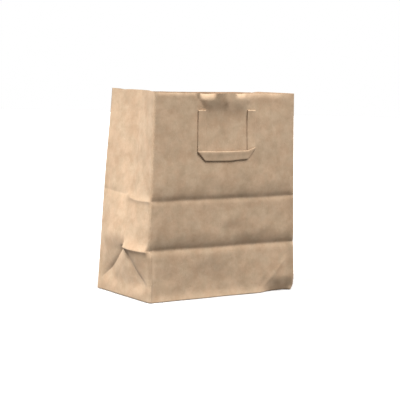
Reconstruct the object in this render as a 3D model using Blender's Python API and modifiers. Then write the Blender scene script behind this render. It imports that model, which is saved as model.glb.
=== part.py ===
"""Brown kraft paper carrier bag, standing open, with a flat paper handle folded down on each face.

Metres, +Z up. The front panel faces -Y, the gusseted sides face -X and +X. The origin is the centre of the base,
on the surface that the bag stands on.
"""

import math

import bmesh
import bpy
from mathutils import Matrix, Vector

# ------------------------------------------------------------------ driving dimensions
WIDTH = 0.305  # front and back panels, across the base
DEPTH = 0.178  # gusseted sides, across the base
HEIGHT = 0.356
WALL = 0.0008  # the sheet, thickened so that it is a workable solid

# Creases. Folded flat, the block bottom hinges at half its depth and its far edge presses through at its full depth.
FOLD_LOW = DEPTH / 2
FOLD_HIGH = 0.1735

# How far each corner edge leans from the base to the rim: the open mouth has racked a little.
LEAN = {
    (-1, -1): (0.0, 0.0),
    (1, -1): (-0.0074, 0.0),
    (1, 1): (0.0216, -0.0048),
    (-1, 1): (0.0216, -0.0048),
}
GUSSET_LEFT = 0.0185  # how far the centre crease of each side stays tucked in at the rim
GUSSET_RIGHT = 0.0150
VALLEY = 0.0042  # depth of the slanting folds at the foot of the sides
SHOULDER_OUT = 0.014  # how far the sheet curves beside such a fold, outside and inside the foot triangle
SHOULDER_IN = 0.006

# Flat handle: a tape folded square at two corners, its ends pasted to the panel behind the straps.
TAPE_WIDTH = 0.0165
TAPE_THICK = 0.0010
TAPE_GAP = 0.0003  # between the pasted ends and the panel
LOOP_WIDTH = 0.121  # outside edge to outside edge
LOOP_SHIFT = -0.004  # centre of the handle beside the centre of the front panel
HINGE = 0.3265  # top of the fold that lets the handle swing up
BAND_TOP = 0.2562
BAND_BOTTOM = 0.2387
PASTED_FOOT = 0.2900  # lower end of the pasted ends
HINGE_RADIUS = 0.0016
STRAP_OUT = 0.0024  # how far the hanging straps stand off the panel where they pass the pasted ends

KRAFT = (0.52, 0.37, 0.235, 1.0)
TAPE_KRAFT = (0.50, 0.355, 0.225, 1.0)


# ------------------------------------------------------------------ scene and helpers
def clear_scene():
    for item in list(bpy.data.objects):
        bpy.data.objects.remove(item, do_unlink=True)


def paper(name, colour):
    material = bpy.data.materials.new(name)
    material.use_nodes = True
    shader = material.node_tree.nodes["Principled BSDF"]
    shader.inputs["Base Color"].default_value = colour
    shader.inputs["Roughness"].default_value = 0.85
    shader.inputs["Metallic"].default_value = 0.0
    material.diffuse_color = colour
    return material


def add_object(name, bm, collection, material):
    mesh = bpy.data.meshes.new(name)
    bmesh.ops.recalc_face_normals(bm, faces=bm.faces)
    bm.to_mesh(mesh)
    bm.free()
    mesh.materials.append(material)
    item = bpy.data.objects.new(name, mesh)
    collection.objects.link(item)
    return item


def smooth(value, low, high):
    t = min(1.0, max(0.0, (value - low) / (high - low)))
    return t * t * (3.0 - 2.0 * t)


def groove(height, above, below):
    """1 on a crease, falling away over the lengths above and below it."""
    return math.exp(-height / above) if height > 0.0 else math.exp(height / below)


# ------------------------------------------------------------------ where each point of the block goes on the bag
def corner_ease(x):
    """A crease across a face is shallower where it meets the corner edges."""
    return 1.0 - 0.5 * math.exp(-(WIDTH / 2 - abs(x)) / 0.010)


def lean(u, w, rise):
    dx = dy = 0.0
    for (cu, cw), (lx, ly) in LEAN.items():
        share = (1 + cu * u) * (1 + cw * w) / 4
        dx += share * lx * rise
        dy += share * ly * rise
    return dx, dy


def rim_drop(x):
    """The front rim hangs a little below its corners, with two worn dips over the handle."""
    inside = smooth(WIDTH / 2 - abs(x), 0.0, 0.020)
    dips = 0.0045 * math.exp(-(((x + 0.044) / 0.017) ** 2)) + 0.0035 * math.exp(-(((x - 0.027) / 0.011) ** 2))
    return inside * (0.0025 + dips)


def dent(x, z):
    """The panel is pressed in between the handle's hinges, under the rim."""
    across = smooth(x, -0.066, -0.046) * (1.0 - smooth(x, -0.004, 0.014))
    upward = smooth(z, 0.300, 0.326)
    return 0.0022 * across * upward


def front_in(x, z):
    low = 0.0036 * groove(z - FOLD_LOW, 0.013, 0.008)
    high = 0.0022 * groove(z - FOLD_HIGH, 0.009, 0.007)
    return corner_ease(x) * (low + high) + dent(x, z)


def back_out(x, z):
    return corner_ease(x) * 0.0016 * groove(z - FOLD_HIGH, 0.010, 0.010)


def side_in(y, z, tuck):
    w = y / (DEPTH / 2)
    reach = DEPTH / 2 / math.sqrt(2.0)
    beyond = (abs(y) + z - DEPTH / 2) / math.sqrt(2.0)  # distance out from the slanting fold
    along = (reach - (abs(y) - z) / math.sqrt(2.0)) / (2 * reach)  # 0 at the bottom corner, 1 at the apex
    slant = VALLEY * smooth(along, 0.0, 0.45) * groove(beyond, SHOULDER_OUT, SHOULDER_IN)
    centre = tuck * (1.0 - abs(w)) * max(0.0, z - FOLD_LOW) / (HEIGHT - FOLD_LOW)
    ridge = -0.0015 * smooth(-w, 0.0, 0.3) * groove(z - FOLD_LOW, 0.006, 0.006)
    turn = -1.0 if w < 0 else 1.0  # the halves of a gusset fold opposite ways
    high = 0.0013 * turn * smooth(abs(w), 0.0, 0.2) * groove(z - FOLD_HIGH, 0.008, 0.008)
    return slant + centre + ridge + high


def place(point):
    """A point of the plain block, moved to where the folded, opened sheet holds it."""
    x, y, z = point
    u, w = x / (WIDTH / 2), y / (DEPTH / 2)
    dx, dy = lean(u, w, z / HEIGHT)
    near = 1e-5
    dz = 0.0
    if z > near:
        if abs(w + 1) < near:
            dy += front_in(x, z)
            dz -= rim_drop(x) * smooth(z, HEIGHT - 0.035, HEIGHT)
        if abs(w - 1) < near:
            dy += back_out(x, z)
        if abs(abs(u) - 1) < near:
            tuck = GUSSET_LEFT if u < 0 else GUSSET_RIGHT
            dx -= math.copysign(side_in(y, z, tuck), u)
    return Vector((x + dx, y + dy, z + dz))


# ------------------------------------------------------------------ the bag: a block cut along its fold lines
def cut(bm, point, normal, faces=None):
    faces = list(bm.faces) if faces is None else faces
    edges = {edge for face in faces for edge in face.edges}
    verts = {vert for face in faces for vert in face.verts}
    bmesh.ops.bisect_plane(
        bm, geom=list(verts) + list(edges) + list(faces), dist=1e-6, plane_co=point, plane_no=normal
    )


def fold_rows():
    step = DEPTH / 8
    rows = [step * k for k in (1, 2, 3)]
    rows += [FOLD_LOW + d for d in (-0.012, -0.005, 0.0, 0.006, 0.015, 0.030)]
    rows += [FOLD_HIGH + d for d in (-0.034, -0.015, -0.006, 0.0, 0.006, 0.015, 0.034)]
    rows += [0.250, 0.300, 0.321, 0.340]
    return rows


def make_bag(collection, material):
    bm = bmesh.new()
    block = Matrix.Translation((0, 0, HEIGHT / 2)) @ Matrix.Diagonal((WIDTH, DEPTH, HEIGHT, 1.0))
    bmesh.ops.create_cube(bm, size=1.0, matrix=block)
    top = [face for face in bm.faces if face.normal.z > 0.5]
    bmesh.ops.delete(bm, geom=top, context="FACES_ONLY")

    for z in fold_rows():
        cut(bm, (0, 0, z), (0, 0, 1))
    for x in (-0.146, -0.128, -0.095, -0.064, -0.044, -0.024, 0.004, 0.027, 0.050, 0.088, 0.128, 0.146):
        cut(bm, (x, 0, 0), (1, 0, 0))
    for k in range(-3, 4):
        cut(bm, (0, k * DEPTH / 8, 0), (0, 1, 0))
    # the slanting folds run from the bottom corners up to the gusset's centre crease
    for side in (-1, 1):
        for end in (-1, 1):
            foot = [
                face
                for face in bm.faces
                if abs(face.normal.x - side) < 0.1
                and face.calc_center_median().z < FOLD_LOW
                and face.calc_center_median().y * end > 0
            ]
            cut(bm, (0, end * DEPTH / 2, 0), (0, end, 1), foot)

    for vert in bm.verts:
        vert.co = place(vert.co)

    bag = add_object("bag_body", bm, collection, material)
    sheet = bag.modifiers.new("Sheet thickness", "SOLIDIFY")
    sheet.thickness = WALL
    sheet.offset = -1.0
    sheet.use_even_offset = True
    sheet.use_quality_normals = True
    return bag


# ------------------------------------------------------------------ the handles: one folded tape each
def strap_path():
    """(height, distance off the panel) along a strap's middle, from the pasted end over the hinge to the cross band."""
    pasted = TAPE_GAP + TAPE_THICK / 2
    path = [(z, pasted) for z in (PASTED_FOOT, (PASTED_FOOT + HINGE) / 2)]
    middle = HINGE - HINGE_RADIUS - TAPE_THICK / 2
    steps = 6
    for k in range(steps + 1):
        turn = math.pi * k / steps
        path.append((middle + HINGE_RADIUS * math.sin(turn), pasted + HINGE_RADIUS * (1 - math.cos(turn))))
    top = pasted + 2 * HINGE_RADIUS
    band = pasted + 0.0002
    steps = 7
    for k in range(1, steps + 1):
        z = middle + (BAND_TOP - middle) * k / steps
        off = top + (STRAP_OUT - top) * smooth(middle - z, 0.0, middle - PASTED_FOOT)
        off += (band - STRAP_OUT) * smooth(PASTED_FOOT - 0.002 - z, 0.0, PASTED_FOOT - 0.002 - BAND_TOP)
        path.append((z, off))
    return path


def make_handle(name, collection, material, frame):
    """The tape lies in the plane Y = 0 of its frame, in front of it towards -Y."""
    bm = bmesh.new()
    path = strap_path()
    lay = path[-1][1]
    ends = {}
    for side in (-1, 1):
        outer, inner = side * LOOP_WIDTH / 2, side * (LOOP_WIDTH / 2 - TAPE_WIDTH)
        rows = [(bm.verts.new((outer, -off, z)), bm.verts.new((inner, -off, z))) for z, off in path]
        for (a, b), (c, d) in zip(rows, rows[1:]):
            bm.faces.new((a, b, d, c))
        # the square turn: the tape's outer corner is folded under, which leaves a slanting edge
        low = bm.verts.new((inner, -lay, BAND_BOTTOM))
        bm.faces.new((rows[-1][0], rows[-1][1], low))
        ends[side] = (rows[-1][1], low)
    spans = 4
    left, right = ends[-1], ends[1]
    previous = left
    for k in range(1, spans + 1):
        if k == spans:
            following = right
        else:
            t = k / spans
            following = tuple(bm.verts.new(a.co.lerp(b.co, t)) for a, b in zip(left, right))
        bm.faces.new((previous[0], following[0], following[1], previous[1]))
        previous = following
    handle = add_object(name, bm, collection, material)
    handle.matrix_world = frame
    tape = handle.modifiers.new("Tape thickness", "SOLIDIFY")
    tape.thickness = TAPE_THICK
    tape.offset = 0.0
    tape.use_even_offset = True
    tape.use_quality_normals = True
    return handle


def front_frame():
    return Matrix.Translation((LOOP_SHIFT, -DEPTH / 2, 0))


def back_frame():
    """Turned to face +Y and tilted with the back panel, which leans forward and to the right."""
    lx, ly = LEAN[(1, 1)]
    height = (HINGE + BAND_BOTTOM) / 2
    shift = Matrix.Translation((lx * height / HEIGHT - LOOP_SHIFT, DEPTH / 2, 0))
    tilt = Matrix.Rotation(-math.atan2(ly, HEIGHT), 4, "X")
    return shift @ tilt @ Matrix.Rotation(math.pi, 4, "Z")


def main():
    clear_scene()
    parts = bpy.data.collections.new("paper_carrier_bag")
    bpy.context.scene.collection.children.link(parts)
    kraft = paper("kraft_paper", KRAFT)
    tape = paper("kraft_tape", TAPE_KRAFT)
    make_bag(parts, kraft)
    make_handle("handle_front", parts, tape, front_frame())
    make_handle("handle_back", parts, tape, back_frame())


main()
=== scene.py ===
"""Looks of the brown kraft paper carrier bag: a folded sheet that stands open, with a flat tape handle on each face.

Lengths inside the modelling functions are millimetres in the row frame (+Z up, front panel towards -Y);
they become metres when a mesh is made.
"""

import math

import bmesh
import bpy
import numpy as np
from mathutils import Matrix, Vector
from mathutils.geometry import delaunay_2d_cdt


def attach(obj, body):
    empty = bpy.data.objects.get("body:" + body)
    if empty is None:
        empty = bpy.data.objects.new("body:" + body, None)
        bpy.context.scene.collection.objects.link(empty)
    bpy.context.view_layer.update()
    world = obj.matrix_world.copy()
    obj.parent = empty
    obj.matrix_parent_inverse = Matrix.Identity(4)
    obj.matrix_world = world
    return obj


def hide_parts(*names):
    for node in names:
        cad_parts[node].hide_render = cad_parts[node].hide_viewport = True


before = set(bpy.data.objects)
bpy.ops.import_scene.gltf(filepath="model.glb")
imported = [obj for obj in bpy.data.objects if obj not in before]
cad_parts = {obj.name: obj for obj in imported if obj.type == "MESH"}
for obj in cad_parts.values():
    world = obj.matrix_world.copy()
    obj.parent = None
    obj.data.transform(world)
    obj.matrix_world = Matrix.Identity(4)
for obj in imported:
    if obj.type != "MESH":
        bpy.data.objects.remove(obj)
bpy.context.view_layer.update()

# ------------------------------------------------------------------ sizes, as in the CAD
W, D, H = 305.0, 178.0, 356.0
Z_LOW, Z_HIGH = 88.9, 173.0  # creases across the front
LEAN = {"FL": (0.0, 0.0), "FR": (-7.4, 0.0), "BR": (21.6, -4.8), "BL": (21.6, -4.8)}
BASE = {"FL": (-W / 2, -D / 2), "FR": (W / 2, -D / 2), "BR": (W / 2, D / 2), "BL": (-W / 2, D / 2)}
PAPER = 0.26
FOOT_ROUND = 1.8

TAPE_W = 16.5
LOOP_W = 121.0
LOOP_X = -4.0
HINGE = 326.5
BAND_TOP, BAND_BOTTOM = 256.2, 239.7


# ------------------------------------------------------------------ small maths
def smooth(value, low=0.0, high=1.0):
    t = np.clip((np.asarray(value, float) - low) / (high - low), 0.0, 1.0)
    return t * t * (3.0 - 2.0 * t)


def fold(t, above, below, soft=0.5):
    """1 on a fold, easing to 0 over the lengths above and below it, with a slightly rounded bottom."""
    t = np.asarray(t, float)
    reach = np.where(t > 0, above, below)
    d = np.sqrt(t * t + soft * soft) - soft
    return np.clip(1.0 - d / reach, 0.0, 1.0) ** 2


def eased(profile, t, reach):
    """A profile across a fold, with the fold rounded over a short reach each way."""
    return sum(profile(t + reach * k / 3.0) * w for k, w in zip(range(-3, 4), (1, 2, 3, 4, 3, 2, 1))) / 16.0


def bump(value, centre, half):
    return np.exp(-(((np.asarray(value, float) - centre) / half) ** 2))


class Noise:
    """Smooth random heights over a plane, the same each run."""

    def __init__(self, seed, size=64):
        self.grid = np.random.RandomState(seed).uniform(-1.0, 1.0, (size, size))
        self.size = size

    def __call__(self, u, v):
        u, v = np.broadcast_arrays(np.asarray(u, float), np.asarray(v, float))
        iu, iv = np.floor(u).astype(int), np.floor(v).astype(int)
        fu, fv = u - iu, v - iv
        fu, fv = fu**3 * (fu * (fu * 6 - 15) + 10), fv**3 * (fv * (fv * 6 - 15) + 10)
        n = self.size
        a, b = self.grid[iu % n, iv % n], self.grid[(iu + 1) % n, iv % n]
        c, d = self.grid[iu % n, (iv + 1) % n], self.grid[(iu + 1) % n, (iv + 1) % n]
        return (a * (1 - fu) + b * fu) * (1 - fv) + (c * (1 - fu) + d * fu) * fv


def uneven(seed, s, z, strength=1.0):
    """The sheet is never quite flat: slow waves, smaller buckles, and faint creases between them."""
    one, two, three, four = Noise(seed), Noise(seed + 1), Noise(seed + 2), Noise(seed + 3)
    turn = 0.5 + 0.31 * (seed % 7)
    c, q = math.cos(turn), math.sin(turn)
    a, b = s * c + z * q, z * c - s * q
    slow = 0.85 * one(s / 74 + 3.1, z / 66 + 1.7)
    mid = 0.30 * two(a / 33 + 7.3, b / 27 + 2.9)
    small = 0.085 * three(s / 13.5, z / 12.0)
    ridge = 0.42 * (0.35 - np.abs(four(b / 46 + 5.0, a / 38 + 9.0)))
    return strength * (slow + mid + small + ridge)


def knocked(z):
    """How far the crumpled foot corner has been knocked under: 1 at the foot, 0 from about 25 mm up."""
    return np.clip(1.0 - np.asarray(z, float) / 25.0, 0.0, 1.0) ** 1.2


# ------------------------------------------------------------------ corner edges
def corner(name, z):
    """Where a corner edge of the bag runs, with the small kinks that the creases leave in it."""
    z = np.asarray(z, float)
    bx, by = BASE[name]
    lx, ly = LEAN[name]
    x, y = bx + lx * z / H, by + ly * z / H
    if name == "FL":
        y = y + 2.4 * fold(z - Z_LOW, 16, 12) + 1.0 * fold(z - Z_HIGH, 10, 8)
        x = x - 1.1 * fold(z - Z_LOW, 10, 9) - 0.5 * fold(z - Z_HIGH, 7, 7)
        x = x + 2.3 * bump(z, 38.0, 16.0) - 3.3 * bump(z, 132.0, 46.0) - 1.6 * bump(z, 225.0, 50.0)
    elif name == "FR":
        y = y + 2.2 * fold(z - Z_LOW, 16, 12) + 0.9 * fold(z - Z_HIGH, 10, 8) + 4.0 * knocked(z) - 1.5 * (1.0 - smooth(z, 28.0, 84.0))
        x = x + 0.7 * fold(z - Z_LOW, 10, 9) + 0.4 * fold(z - Z_HIGH, 7, 7) - 4.0 * np.clip(1.0 - z / 8.0, 0, 1)
        x = x + 3.8 * (1.0 - smooth(z, -60.0, 370.0))
    else:
        turn = 1.0 if name == "BR" else -1.0
        x = x + turn * (1.2 + 1.9 * bump(z, 205.0, 90.0))
        y = y + 0.9 * fold(z - 180.5, 12, 12)
        x = x - turn * 0.7 * fold(z - 180.5, 9, 9)
    return np.stack([x, y], -1)


# ------------------------------------------------------------------ the four panels, as inward offsets
def front_in(x, z):
    """How far the front panel lies behind its flat plane."""
    wander = Noise(11)
    deep = 1.0 + 0.13 * Noise(12)(x / 41, 0.5)
    arch = 1.0 - (np.abs(x) / (W / 2)) ** 4

    # upper crease: the sheet turns in above it and only partly comes back below it
    def upper(t):
        above = 3.1 * np.clip(1.0 - t / 30.0, 0, 1) ** 2 + 1.6 * np.clip(1.0 - t / 11.0, 0, 1) ** 2
        below = 4.7 - 1.25 * (1.0 - np.clip(1.0 + t / 9.0, 0, 1) ** 2)
        back = np.where(t > 0, above, below)
        return np.where(t > 0, back, 3.45 + (back - 3.45) * np.exp(np.minimum(t, 0.0) / 70.0))

    # lower crease, with the lowest panel standing back behind it and flaring at the foot
    def lower(t):
        above = 5.1 * np.clip(1.0 - t / 31.0, 0, 1) ** 2 + 1.0 * np.clip(1.0 - t / 11.0, 0, 1) ** 2
        below = 6.1 - 2.5 * (1.0 - np.clip(1.0 + t / 12.5, 0, 1) ** 2) + 0.5 * smooth(-t, 14.0, 62.0)
        return np.where(t > 0, above, below)

    t = z - Z_HIGH + 0.5 - 0.7 * wander(x / 30, 7.2)
    high = (1.0 + 0.20 * Noise(13)(x / 36, 4.5)) * eased(upper, t, 3.2)
    t = z - Z_LOW + 1.1 - 0.8 * wander(x / 38, 2.2)
    low = deep * eased(lower, t, 3.2)
    flare = -2.7 * np.clip(1.0 - z / 15.0, 0, 1) ** 1.7 * (1.0 - smooth(x, 80.0, 112.0))
    total = high + low + flare - 2.5 * arch

    # the lip that the rolled rim makes between the hinges: its underside faces down
    left_line = ((z - 348.0) + 1.15 * (x + 62.5)) / 1.52
    climb = np.clip(z - 325.0, 0, None)
    climb = 0.17 * climb**2 / (climb + 5.0)
    left = 0.26 * np.clip(left_line, 0, None)
    lift = left * climb / (left**3 + climb**3 + 1e-6) ** (1 / 3)
    lift = np.minimum(lift, 6.0) * (1.0 - smooth(x, -16.0, 8.0))
    lift = lift + 2.1 * bump(x, -2.0, 6.0) * bump(z, 345.0, 12.0)
    seam = 0.5 * np.exp(-np.abs(left_line + 0.8) / 2.0) * smooth(z, 322.0, 332.0) * (x < -20.0)
    lip = -lift + seam - 1.3 * bump(x, 28.0, 11.0) * smooth(z, 322.0, 346.0)
    press = 2.6 * smooth(x, -70.0, -48.0) * (1.0 - smooth(x, 40.0, 62.0)) * smooth(z, 238.0, 312.0) * (1.0 - smooth(z, 314.0, 345.0))
    small = -0.6 * bump(x, 46.0, 6.0) * bump(z, 344.0, 5.0) + 0.5 * bump(x, 49.5, 6.0) * bump(z, 336.0, 5.0)

    # crumpled lower corner: the foot is knocked under, and a small slanting ridge runs up from there
    past = (x - 81.0 - z) / 1.414
    along = (x - 90.0 + z - 9.0) / 1.414
    crease = -1.2 * np.exp(-np.abs(past) / 2.6) * smooth(along, -4.0, 12.0) * (1.0 - smooth(along, 58.0, 80.0))
    fallen = 0.6 * smooth(past, -16.0, -5.0) * smooth(along, -14.0, 2.0) * (1.0 - smooth(along, 14.0, 34.0))
    tucked = 6.8 * smooth(x, 82.0, 126.0) * knocked(z) - 2.4 * smooth(x, 86.0, 128.0) * (1.0 - smooth(z, 28.0, 84.0))

    # under the handle the panel stands out a little, then falls back towards the crease
    belly = -1.3 * bump(z, 212.0, 22.0) * bump(x, -6.0, 60.0)
    hollow = 1.5 * bump(x, -118.0, 17.0) * bump(z, 40.0, 16.0) + 1.1 * bump(x, 12.0, 24.0) * bump(z, 118.0, 12.0)

    tilt = 1.5 * smooth(x, 34.0, 62.0) * smooth(z, 312.0, 350.0)
    total = total + tilt + lip + press + small + crease + fallen + tucked + belly + hollow
    return total - uneven(21, x, z, 1.0 + 0.55 * (1.0 - smooth(z, 60.0, 190.0)))


def rim_in(x, z):
    """The top edge of the front panel rolls back a little, much more above the handle's hinges."""
    left = 1.0 * (1.0 - smooth(x, -68.0, -60.0)) * np.clip((z - 349.5) / 6.5, 0.0, None) ** 2
    right = 1.9 * smooth(x, 30.0, 42.0) * (1.0 - 0.75 * smooth(x, 100.0, 140.0)) * np.clip((z - 346.0) / 10.0, 0.0, None) ** 2
    first = 5.6 * smooth(x, -61.5, -56.5) * (1.0 - smooth(x, -34.0, -24.0)) * np.clip((z - 344.5) / 11.5, 0.0, None) ** 1.6
    second = 3.6 * smooth(x, 15.0, 22.0) * (1.0 - smooth(x, 34.0, 41.0)) * np.clip((z - 346.5) / 9.5, 0.0, None) ** 1.7
    plain = left + right
    return plain + first + second


def back_in(x, z):
    crease = -2.2 * (1.0 + 0.2 * Noise(31)(x / 35, 1.5)) * fold(z - 180.5 - 0.8 * Noise(32)(x / 33, 3.5), 15, 14, 0.4)
    swell = -1.4 * bump(z, 95.0, 60.0) * bump(x, 0.0, 110.0)
    draw = 1.2 * bump(z, 16.0, 11.0)
    return crease + swell + draw - uneven(41, x, z, 1.0)


def line_through(points, step=1.0):
    """A smooth line through the given points of a panel, as evenly spaced samples."""
    pts = np.array(points, float)
    padded = np.vstack([2 * pts[0] - pts[1], pts, 2 * pts[-1] - pts[-2]])
    out = []
    for k in range(1, len(padded) - 2):
        p0, p1, p2, p3 = padded[k - 1 : k + 3]
        for t in np.linspace(0, 1, 24, endpoint=False):
            out.append(0.5 * (2 * p1 + (p2 - p0) * t + (2 * p0 - 5 * p1 + 4 * p2 - p3) * t**2 + (3 * p1 - p0 - 3 * p2 + p3) * t**3))
    out.append(pts[-1])
    out = np.array(out)
    run = np.concatenate([[0], np.cumsum(np.linalg.norm(np.diff(out, axis=0), axis=1))])
    count = max(3, int(run[-1] / step) + 1)
    even = np.linspace(0, run[-1], count)
    return np.stack([np.interp(even, run, out[:, 0]), np.interp(even, run, out[:, 1])], 1)


def from_line(y, z, line):
    """Signed distance from a line (positive on its left, going along it) and the share of the way along it."""
    y, z = np.broadcast_arrays(np.asarray(y, float), np.asarray(z, float))
    p = np.stack([y.ravel(), z.ravel()], 1)
    a, d = line[:-1], np.diff(line, axis=0)
    length2 = (d**2).sum(1)
    best = np.full(len(p), 1e9)
    side = np.zeros(len(p))
    share = np.zeros(len(p))
    for k in range(len(a)):
        rel = p - a[k]
        t = np.clip((rel @ d[k]) / length2[k], 0.0, 1.0)
        gap = rel - t[:, None] * d[k]
        dist = np.hypot(gap[:, 0], gap[:, 1])
        near = dist < best - 1e-9
        cross = d[k, 0] * rel[:, 1] - d[k, 1] * rel[:, 0]
        best = np.where(near, dist, best)
        side = np.where(near, np.sign(cross), side)
        share = np.where(near, (k + t) / len(a), share)
    return (best * side).reshape(y.shape), share.reshape(y.shape)


# fold lines of the two gusseted sides, as (y, z); y runs from the front edge (-89) to the back edge (+89)
SIDE_LINES = {
    3: {
        "back_slant": line_through([(88.0, 8.0), (78.0, 20.0), (61.0, 33.5), (42.5, 46.0), (28.0, 57.5), (15.0, 69.5), (3.0, 81.0), (-4.5, 87.8), (-8.0, 94.0), (-8.5, 103.0)]),
        "front_slant": line_through([(-86.0, 20.0), (-71.0, 30.0), (-57.5, 39.0), (-43.5, 51.5), (-35.0, 60.8), (-26.5, 70.0), (-18.0, 79.5), (-6.5, 88.4)]),
        "ridge": line_through([(-88.5, 87.6), (-78.0, 86.8), (-50.0, 86.6), (-26.0, 87.2), (-6.5, 88.4)]),
        "front_upper": line_through([(-88.5, 172.6), (-60.0, 171.4), (-38.0, 171.0), (-16.0, 172.2), (-5.0, 174.0)]),
        "back_upper": line_through([(0.0, 177.4), (28.0, 178.0), (60.0, 179.2), (88.5, 180.6)]),
        "middle": line_through([(-8.5, 103.0), (-6.5, 130.0), (-4.0, 155.0), (-2.0, 176.0), (0.0, 230.0), (0.0, 300.0), (0.0, 356.0)]),
    },
    1: {
        "back_slant": line_through([(88.0, 1.5), (72.0, 17.5), (48.0, 41.0), (24.0, 65.5), (8.0, 82.0), (1.0, 90.0), (0.0, 97.0)]),
        "front_slant": line_through([(-88.0, 3.0), (-70.0, 19.5), (-46.0, 43.5), (-22.0, 67.0), (-9.0, 80.5), (-1.0, 89.5)]),
        "ridge": line_through([(-88.5, 88.8), (-45.0, 88.0), (-1.0, 89.5)]),
        "front_upper": line_through([(-88.5, 173.0), (-45.0, 174.8), (-3.0, 176.8)]),
        "back_upper": line_through([(3.0, 178.2), (45.0, 180.4), (88.5, 182.0)]),
        "middle": line_through([(0.0, 97.0), (0.0, 140.0), (0.0, 178.0), (0.0, 230.0), (0.0, 300.0), (0.0, 356.0)]),
    },
}


def side_in(y, z, side):
    """Inward offsets of a gusseted side. The first is zero at both corner edges by itself, the second is eased there."""
    seed, tuck, deep = (81, 18.5, 1.0) if side == 3 else (71, 15.0, 0.85)
    lines = SIDE_LINES[side]
    middle = lines["middle"]
    centre = np.interp(z, middle[:, 1], middle[:, 0])
    w = np.where(y < centre, (centre - y) / (centre + D / 2), (y - centre) / (D / 2 - centre))
    blur = 0.03 + 0.05 * bump(z, 178.0, 22.0) + 0.05 * smooth(z, 200.0, 356.0)
    soft = np.sqrt(w * w + blur**2) - blur * 0.7
    belly = 1.0 - 0.5 * w**2 - 0.5 * w**4
    rise = np.interp(z, [Z_LOW, Z_HIGH, H], [0.0, 0.48 * tuck, tuck])
    tucked = rise * (1.0 - soft)
    lower = np.sin(0.5 * math.pi * np.clip(z / 90.0, 0.0, 1.0)) ** 1.25
    swell = -11.4 * deep * np.where(z < 90.0, lower, np.exp(-(((z - 90.0) / 125.0) ** 2))) * belly

    # slanting valleys from the bottom corners to the apex; the triangle between them stands back
    t1, u1 = from_line(y, z, lines["back_slant"])
    t1 = -t1
    t2, u2 = from_line(y, z, lines["front_slant"])
    top, ur = from_line(y, z, lines["ridge"])
    below = np.clip(-top, 0.0, None)
    ramp = np.clip(t2, 0.0, None)
    share = ramp / (ramp + below + 0.01)
    near = ramp / (ramp + np.minimum(below, np.clip(y + D / 2, 0.0, None)) + 0.01)
    far = np.clip(t1, 0.0, None) / (np.clip(t1, 0.0, None) + np.clip(D / 2 - y, 0.0, None) + 0.01)
    hold = 1.0 - 0.36 * smooth(np.minimum(-t1, -t2), 0.0, 30.0)
    high1 = 8.6 * smooth(u1, 0.04, 0.42) * (1.0 - smooth(z, 78.0, 110.0))
    high2 = 6.2 * smooth(u2, 0.02, 0.32) * (1.0 - 0.72 * smooth(u2, 0.74, 1.0))
    core1, core2 = fold(t1, 9.0, 9.0, 0.8), fold(t2, 9.0, 9.0, 0.8)
    one = np.where(t1 > 0, 0.20 * core1 + 0.80 * (1.0 - far) ** 0.95 * (1.0 - smooth(t1, 8.0, 100.0)), core1)
    two = np.where(t2 > 0, 0.42 * core2 + 0.58 * (1.0 - near) ** 1.25 * (top < 0), core2)
    between = hold * (high1 * -t2 - high2 * t1) / np.where((t1 < 0) & (t2 < 0), -t1 - t2 + 0.001, 1.0)
    slant = np.where((t1 < 0) & (t2 < 0), between, np.maximum(high1 * one, high2 * two))
    slant = deep * slant * smooth(z, 0.0, 30.0)

    # mountain from the apex to the front edge
    ends = (1.0 - smooth(ur, 0.84, 1.0) * 0.6) * smooth(ur, -0.05, 0.10)
    over = 2.0 * fold(top, 20.0, 8.0, 0.8) + 2.4 * fold(top, 24.0, 24.0, 1.5)
    under = 1.5 * fold(top, 8.0, 8.0, 0.8) + 2.9 * np.clip(share, 0, 1) ** 1.2 * (1.0 - 0.5 * smooth(below, 0.0, 40.0))
    ridge = -deep * ends * np.where(top > 0, over, np.where(t2 > 0, under, 2.0 * fold(top, 8.0, 8.0, 0.8)))

    # upper crease: the front half folds out and the back half folds in, with a pucker between
    t, u = from_line(y, z, lines["front_upper"])
    ends = 1.0 - smooth(u, 0.90, 1.0)
    upper = -1.5 * ends * fold(t, 12.0, 8.0, 0.8)
    t, u = from_line(y, z, lines["back_upper"])
    ends = smooth(u, 0.0, 0.10) * (1.0 - 0.45 * smooth(u, 0.5, 0.95))
    upper = upper + 0.95 * ends * fold(t, 11.0, 13.0, 1.2)
    star = -1.3 * np.exp(-(((y + 3.0) / 11.0) ** 2) - ((z - 174.5) / 6.0) ** 2) + 0.4 * np.exp(-(((y + 3.0) / 12.0) ** 2) - ((z - 187.0) / 7.0) ** 2)

    streak = 0.5 * np.exp(-(((y - 12.0 + 0.1 * z) / 4.5) ** 2)) * smooth(z, 12.0, 40.0) * (1.0 - smooth(z, 66.0, 82.0))
    return tucked + swell, slant + ridge + upper + star + streak - uneven(seed, y, z, 0.62)


# ------------------------------------------------------------------ points of the sheet
def edge_ease(s, length, reach=13.0):
    return smooth(s, 0.0, reach) * smooth(length - s, 0.0, reach)


def panel(first, second, s, length, z, offset, plain=0.0, reach=13.0):
    """Points of a panel between two corner edges. offset eases to nothing at the edges, plain is used as it is."""
    a = (s / length)[..., None]
    p, q = corner(first, z), corner(second, z)
    bare_p = np.stack([BASE[first][0] + LEAN[first][0] * z / H, BASE[first][1] + LEAN[first][1] * z / H], -1)
    bare_q = np.stack([BASE[second][0] + LEAN[second][0] * z / H, BASE[second][1] + LEAN[second][1] * z / H], -1)
    flat = bare_p * (1 - a) + bare_q * a
    near_p = (1.0 - smooth(s, 0.0, 15.0))[..., None]
    near_q = (1.0 - smooth(length - s, 0.0, 15.0))[..., None]
    flat = flat + (p - bare_p) * near_p + (q - bare_q) * near_q
    run = bare_q - bare_p
    run = run / np.linalg.norm(run, axis=-1, keepdims=True)
    inward = np.stack([-run[..., 1], run[..., 0]], -1)
    depth = offset * edge_ease(s, length, reach) + plain
    return flat + inward * depth[..., None]


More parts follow.
